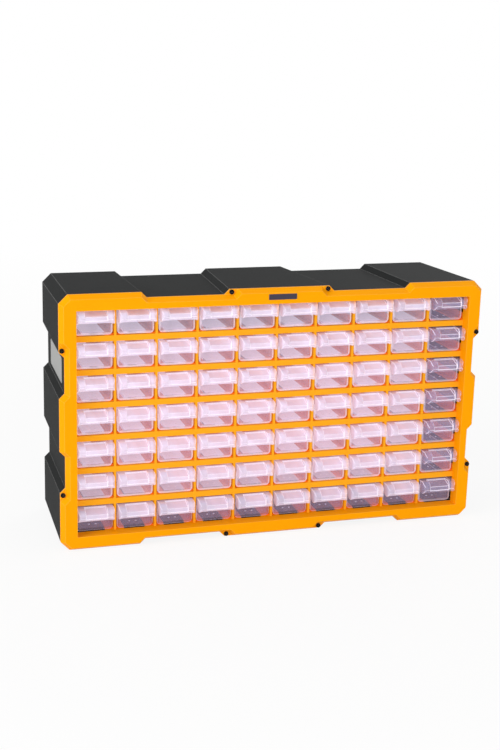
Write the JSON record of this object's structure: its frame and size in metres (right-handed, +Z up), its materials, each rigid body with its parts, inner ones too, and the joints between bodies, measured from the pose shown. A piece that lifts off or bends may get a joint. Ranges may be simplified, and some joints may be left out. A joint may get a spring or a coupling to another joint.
{
  "type": "parts bin cabinet",
  "caption": "Small parts cabinet: a stepped charcoal housing, an orange front frame and a grid of clear sliding drawers with hooded pulls.",
  "frame": {"origin": "middle of the footprint, on the surface the cabinet stands on", "axes": "+Z up, +X to the right seen from the front, the drawers pull out towards -Y"},
  "size_m": [0.5, 0.15, 0.292],
  "materials": {
    "housing_charcoal": "fine-grained moulded",
    "frame_orange": "satin moulded",
    "grid_orange": "satin moulded",
    "rail_orange": "satin moulded",
    "screw_black": "black oxide",
    "drawer_clear": "clear, faintly tinted"
  },
  "bodies": {
    "cabinet": {"housing": "housing_charcoal", "front_frame": "frame_orange", "front_grid": "grid_orange", "runner_rails": "rail_orange", "frame_screws": "screw_black"},
    "drawer_r1_c01": {"drawer_r1_c01": "drawer_clear"},
    "drawer_r1_c02": {"drawer_r1_c02": "drawer_clear"},
    "drawer_r1_c03": {"drawer_r1_c03": "drawer_clear"},
    "drawer_r1_c04": {"drawer_r1_c04": "drawer_clear"},
    "drawer_r1_c05": {"drawer_r1_c05": "drawer_clear"},
    "drawer_r1_c06": {"drawer_r1_c06": "drawer_clear"},
    "drawer_r1_c07": {"drawer_r1_c07": "drawer_clear"},
    "drawer_r1_c08": {"drawer_r1_c08": "drawer_clear"},
    "drawer_r1_c09": {"drawer_r1_c09": "drawer_clear"},
    "drawer_r1_c10": {"drawer_r1_c10": "drawer_clear"},
    "drawer_r2_c01": {"drawer_r2_c01": "drawer_clear"},
    "drawer_r2_c02": {"drawer_r2_c02": "drawer_clear"},
    "drawer_r2_c03": {"drawer_r2_c03": "drawer_clear"},
    "drawer_r2_c04": {"drawer_r2_c04": "drawer_clear"},
    "drawer_r2_c05": {"drawer_r2_c05": "drawer_clear"},
    "drawer_r2_c06": {"drawer_r2_c06": "drawer_clear"},
    "drawer_r2_c07": {"drawer_r2_c07": "drawer_clear"},
    "drawer_r2_c08": {"drawer_r2_c08": "drawer_clear"},
    "drawer_r2_c09": {"drawer_r2_c09": "drawer_clear"},
    "drawer_r2_c10": {"drawer_r2_c10": "drawer_clear"},
    "drawer_r3_c01": {"drawer_r3_c01": "drawer_clear"},
    "drawer_r3_c02": {"drawer_r3_c02": "drawer_clear"},
    "drawer_r3_c03": {"drawer_r3_c03": "drawer_clear"},
    "drawer_r3_c04": {"drawer_r3_c04": "drawer_clear"},
    "drawer_r3_c05": {"drawer_r3_c05": "drawer_clear"},
    "drawer_r3_c06": {"drawer_r3_c06": "drawer_clear"},
    "drawer_r3_c07": {"drawer_r3_c07": "drawer_clear"},
    "drawer_r3_c08": {"drawer_r3_c08": "drawer_clear"},
    "drawer_r3_c09": {"drawer_r3_c09": "drawer_clear"},
    "drawer_r3_c10": {"drawer_r3_c10": "drawer_clear"},
    "drawer_r4_c01": {"drawer_r4_c01": "drawer_clear"},
    "drawer_r4_c02": {"drawer_r4_c02": "drawer_clear"},
    "drawer_r4_c03": {"drawer_r4_c03": "drawer_clear"},
    "drawer_r4_c04": {"drawer_r4_c04": "drawer_clear"},
    "drawer_r4_c05": {"drawer_r4_c05": "drawer_clear"},
    "drawer_r4_c06": {"drawer_r4_c06": "drawer_clear"},
    "drawer_r4_c07": {"drawer_r4_c07": "drawer_clear"},
    "drawer_r4_c08": {"drawer_r4_c08": "drawer_clear"},
    "drawer_r4_c09": {"drawer_r4_c09": "drawer_clear"},
    "drawer_r4_c10": {"drawer_r4_c10": "drawer_clear"},
    "drawers_r5_c01_c02": {"drawers_r5_c01_c02": "drawer_clear"},
    "drawers_r5_c03_c04": {"drawers_r5_c03_c04": "drawer_clear"},
    "drawers_r5_c05_c06": {"drawers_r5_c05_c06": "drawer_clear"},
    "drawers_r5_c07_c08": {"drawers_r5_c07_c08": "drawer_clear"},
    "drawers_r5_c09_c10": {"drawers_r5_c09_c10": "drawer_clear"},
    "drawers_r6_c01_c02": {"drawers_r6_c01_c02": "drawer_clear"},
    "drawers_r6_c03_c04": {"drawers_r6_c03_c04": "drawer_clear"},
    "drawers_r6_c05_c06": {"drawers_r6_c05_c06": "drawer_clear"},
    "drawers_r6_c07_c08": {"drawers_r6_c07_c08": "drawer_clear"},
    "drawers_r6_c09_c10": {"drawers_r6_c09_c10": "drawer_clear"},
    "drawers_r7_c01_c02": {"drawers_r7_c01_c02": "drawer_clear"},
    "drawers_r7_c03_c04": {"drawers_r7_c03_c04": "drawer_clear"},
    "drawers_r7_c05_c06": {"drawers_r7_c05_c06": "drawer_clear"},
    "drawers_r7_c07_c08": {"drawers_r7_c07_c08": "drawer_clear"},
    "drawers_r7_c09_c10": {"drawers_r7_c09_c10": "drawer_clear"}
  },
  "joints": [
    {"name": "drawer_r1_c01_slide", "type": "slide", "parent": "cabinet", "child": "drawer_r1_c01", "axis": [0, -1, 0], "range_m": [0, 0.115]},
    {"name": "drawer_r1_c02_slide", "type": "slide", "parent": "cabinet", "child": "drawer_r1_c02", "axis": [0, -1, 0], "range_m": [0, 0.115]},
    {"name": "drawer_r1_c03_slide", "type": "slide", "parent": "cabinet", "child": "drawer_r1_c03", "axis": [0, -1, 0], "range_m": [0, 0.115]},
    {"name": "drawer_r1_c04_slide", "type": "slide", "parent": "cabinet", "child": "drawer_r1_c04", "axis": [0, -1, 0], "range_m": [0, 0.115]},
    {"name": "drawer_r1_c05_slide", "type": "slide", "parent": "cabinet", "child": "drawer_r1_c05", "axis": [0, -1, 0], "range_m": [0, 0.115]},
    {"name": "drawer_r1_c06_slide", "type": "slide", "parent": "cabinet", "child": "drawer_r1_c06", "axis": [0, -1, 0], "range_m": [0, 0.115]},
    {"name": "drawer_r1_c07_slide", "type": "slide", "parent": "cabinet", "child": "drawer_r1_c07", "axis": [0, -1, 0], "range_m": [0, 0.115]},
    {"name": "drawer_r1_c08_slide", "type": "slide", "parent": "cabinet", "child": "drawer_r1_c08", "axis": [0, -1, 0], "range_m": [0, 0.115]},
    {"name": "drawer_r1_c09_slide", "type": "slide", "parent": "cabinet", "child": "drawer_r1_c09", "axis": [0, -1, 0], "range_m": [0, 0.115]},
    {"name": "drawer_r1_c10_slide", "type": "slide", "parent": "cabinet", "child": "drawer_r1_c10", "axis": [0, -1, 0], "range_m": [0, 0.115]},
    {"name": "drawer_r2_c01_slide", "type": "slide", "parent": "cabinet", "child": "drawer_r2_c01", "axis": [0, -1, 0], "range_m": [0, 0.115]},
    {"name": "drawer_r2_c02_slide", "type": "slide", "parent": "cabinet", "child": "drawer_r2_c02", "axis": [0, -1, 0], "range_m": [0, 0.115]},
    {"name": "drawer_r2_c03_slide", "type": "slide", "parent": "cabinet", "child": "drawer_r2_c03", "axis": [0, -1, 0], "range_m": [0, 0.115]},
    {"name": "drawer_r2_c04_slide", "type": "slide", "parent": "cabinet", "child": "drawer_r2_c04", "axis": [0, -1, 0], "range_m": [0, 0.115]},
    {"name": "drawer_r2_c05_slide", "type": "slide", "parent": "cabinet", "child": "drawer_r2_c05", "axis": [0, -1, 0], "range_m": [0, 0.115]},
    {"name": "drawer_r2_c06_slide", "type": "slide", "parent": "cabinet", "child": "drawer_r2_c06", "axis": [0, -1, 0], "range_m": [0, 0.115]},
    {"name": "drawer_r2_c07_slide", "type": "slide", "parent": "cabinet", "child": "drawer_r2_c07", "axis": [0, -1, 0], "range_m": [0, 0.115]},
    {"name": "drawer_r2_c08_slide", "type": "slide", "parent": "cabinet", "child": "drawer_r2_c08", "axis": [0, -1, 0], "range_m": [0, 0.115]},
    {"name": "drawer_r2_c09_slide", "type": "slide", "parent": "cabinet", "child": "drawer_r2_c09", "axis": [0, -1, 0], "range_m": [0, 0.115]},
    {"name": "drawer_r2_c10_slide", "type": "slide", "parent": "cabinet", "child": "drawer_r2_c10", "axis": [0, -1, 0], "range_m": [0, 0.115]},
    {"name": "drawer_r3_c01_slide", "type": "slide", "parent": "cabinet", "child": "drawer_r3_c01", "axis": [0, -1, 0], "range_m": [0, 0.115]},
    {"name": "drawer_r3_c02_slide", "type": "slide", "parent": "cabinet", "child": "drawer_r3_c02", "axis": [0, -1, 0], "range_m": [0, 0.115]},
    {"name": "drawer_r3_c03_slide", "type": "slide", "parent": "cabinet", "child": "drawer_r3_c03", "axis": [0, -1, 0], "range_m": [0, 0.115]},
    {"name": "drawer_r3_c04_slide", "type": "slide", "parent": "cabinet", "child": "drawer_r3_c04", "axis": [0, -1, 0], "range_m": [0, 0.115]},
    {"name": "drawer_r3_c05_slide", "type": "slide", "parent": "cabinet", "child": "drawer_r3_c05", "axis": [0, -1, 0], "range_m": [0, 0.115]},
    {"name": "drawer_r3_c06_slide", "type": "slide", "parent": "cabinet", "child": "drawer_r3_c06", "axis": [0, -1, 0], "range_m": [0, 0.115]},
    {"name": "drawer_r3_c07_slide", "type": "slide", "parent": "cabinet", "child": "drawer_r3_c07", "axis": [0, -1, 0], "range_m": [0, 0.115]},
    {"name": "drawer_r3_c08_slide", "type": "slide", "parent": "cabinet", "child": "drawer_r3_c08", "axis": [0, -1, 0], "range_m": [0, 0.115]},
    {"name": "drawer_r3_c09_slide", "type": "slide", "parent": "cabinet", "child": "drawer_r3_c09", "axis": [0, -1, 0], "range_m": [0, 0.115]},
    {"name": "drawer_r3_c10_slide", "type": "slide", "parent": "cabinet", "child": "drawer_r3_c10", "axis": [0, -1, 0], "range_m": [0, 0.115]},
    {"name": "drawer_r4_c01_slide", "type": "slide", "parent": "cabinet", "child": "drawer_r4_c01", "axis": [0, -1, 0], "range_m": [0, 0.115]},
    {"name": "drawer_r4_c02_slide", "type": "slide", "parent": "cabinet", "child": "drawer_r4_c02", "axis": [0, -1, 0], "range_m": [0, 0.115]},
    {"name": "drawer_r4_c03_slide", "type": "slide", "parent": "cabinet", "child": "drawer_r4_c03", "axis": [0, -1, 0], "range_m": [0, 0.115]},
    {"name": "drawer_r4_c04_slide", "type": "slide", "parent": "cabinet", "child": "drawer_r4_c04", "axis": [0, -1, 0], "range_m": [0, 0.115]},
    {"name": "drawer_r4_c05_slide", "type": "slide", "parent": "cabinet", "child": "drawer_r4_c05", "axis": [0, -1, 0], "range_m": [0, 0.115]},
    {"name": "drawer_r4_c06_slide", "type": "slide", "parent": "cabinet", "child": "drawer_r4_c06", "axis": [0, -1, 0], "range_m": [0, 0.115]},
    {"name": "drawer_r4_c07_slide", "type": "slide", "parent": "cabinet", "child": "drawer_r4_c07", "axis": [0, -1, 0], "range_m": [0, 0.115]},
    {"name": "drawer_r4_c08_slide", "type": "slide", "parent": "cabinet", "child": "drawer_r4_c08", "axis": [0, -1, 0], "range_m": [0, 0.115]},
    {"name": "drawer_r4_c09_slide", "type": "slide", "parent": "cabinet", "child": "drawer_r4_c09", "axis": [0, -1, 0], "range_m": [0, 0.115]},
    {"name": "drawer_r4_c10_slide", "type": "slide", "parent": "cabinet", "child": "drawer_r4_c10", "axis": [0, -1, 0], "range_m": [0, 0.115]},
    {"name": "drawers_r5_c01_c02_slide", "type": "slide", "parent": "cabinet", "child": "drawers_r5_c01_c02", "axis": [0, -1, 0], "range_m": [0, 0.115]},
    {"name": "drawers_r5_c03_c04_slide", "type": "slide", "parent": "cabinet", "child": "drawers_r5_c03_c04", "axis": [0, -1, 0], "range_m": [0, 0.115]},
    {"name": "drawers_r5_c05_c06_slide", "type": "slide", "parent": "cabinet", "child": "drawers_r5_c05_c06", "axis": [0, -1, 0], "range_m": [0, 0.115]},
    {"name": "drawers_r5_c07_c08_slide", "type": "slide", "parent": "cabinet", "child": "drawers_r5_c07_c08", "axis": [0, -1, 0], "range_m": [0, 0.115]},
    {"name": "drawers_r5_c09_c10_slide", "type": "slide", "parent": "cabinet", "child": "drawers_r5_c09_c10", "axis": [0, -1, 0], "range_m": [0, 0.115]},
    {"name": "drawers_r6_c01_c02_slide", "type": "slide", "parent": "cabinet", "child": "drawers_r6_c01_c02", "axis": [0, -1, 0], "range_m": [0, 0.115]},
    {"name": "drawers_r6_c03_c04_slide", "type": "slide", "parent": "cabinet", "child": "drawers_r6_c03_c04", "axis": [0, -1, 0], "range_m": [0, 0.115]},
    {"name": "drawers_r6_c05_c06_slide", "type": "slide", "parent": "cabinet", "child": "drawers_r6_c05_c06", "axis": [0, -1, 0], "range_m": [0, 0.115]},
    {"name": "drawers_r6_c07_c08_slide", "type": "slide", "parent": "cabinet", "child": "drawers_r6_c07_c08", "axis": [0, -1, 0], "range_m": [0, 0.115]},
    {"name": "drawers_r6_c09_c10_slide", "type": "slide", "parent": "cabinet", "child": "drawers_r6_c09_c10", "axis": [0, -1, 0], "range_m": [0, 0.115]},
    {"name": "drawers_r7_c01_c02_slide", "type": "slide", "parent": "cabinet", "child": "drawers_r7_c01_c02", "axis": [0, -1, 0], "range_m": [0, 0.115]},
    {"name": "drawers_r7_c03_c04_slide", "type": "slide", "parent": "cabinet", "child": "drawers_r7_c03_c04", "axis": [0, -1, 0], "range_m": [0, 0.115]},
    {"name": "drawers_r7_c05_c06_slide", "type": "slide", "parent": "cabinet", "child": "drawers_r7_c05_c06", "axis": [0, -1, 0], "range_m": [0, 0.115]},
    {"name": "drawers_r7_c07_c08_slide", "type": "slide", "parent": "cabinet", "child": "drawers_r7_c07_c08", "axis": [0, -1, 0], "range_m": [0, 0.115]},
    {"name": "drawers_r7_c09_c10_slide", "type": "slide", "parent": "cabinet", "child": "drawers_r7_c09_c10", "axis": [0, -1, 0], "range_m": [0, 0.115]}
  ]
}
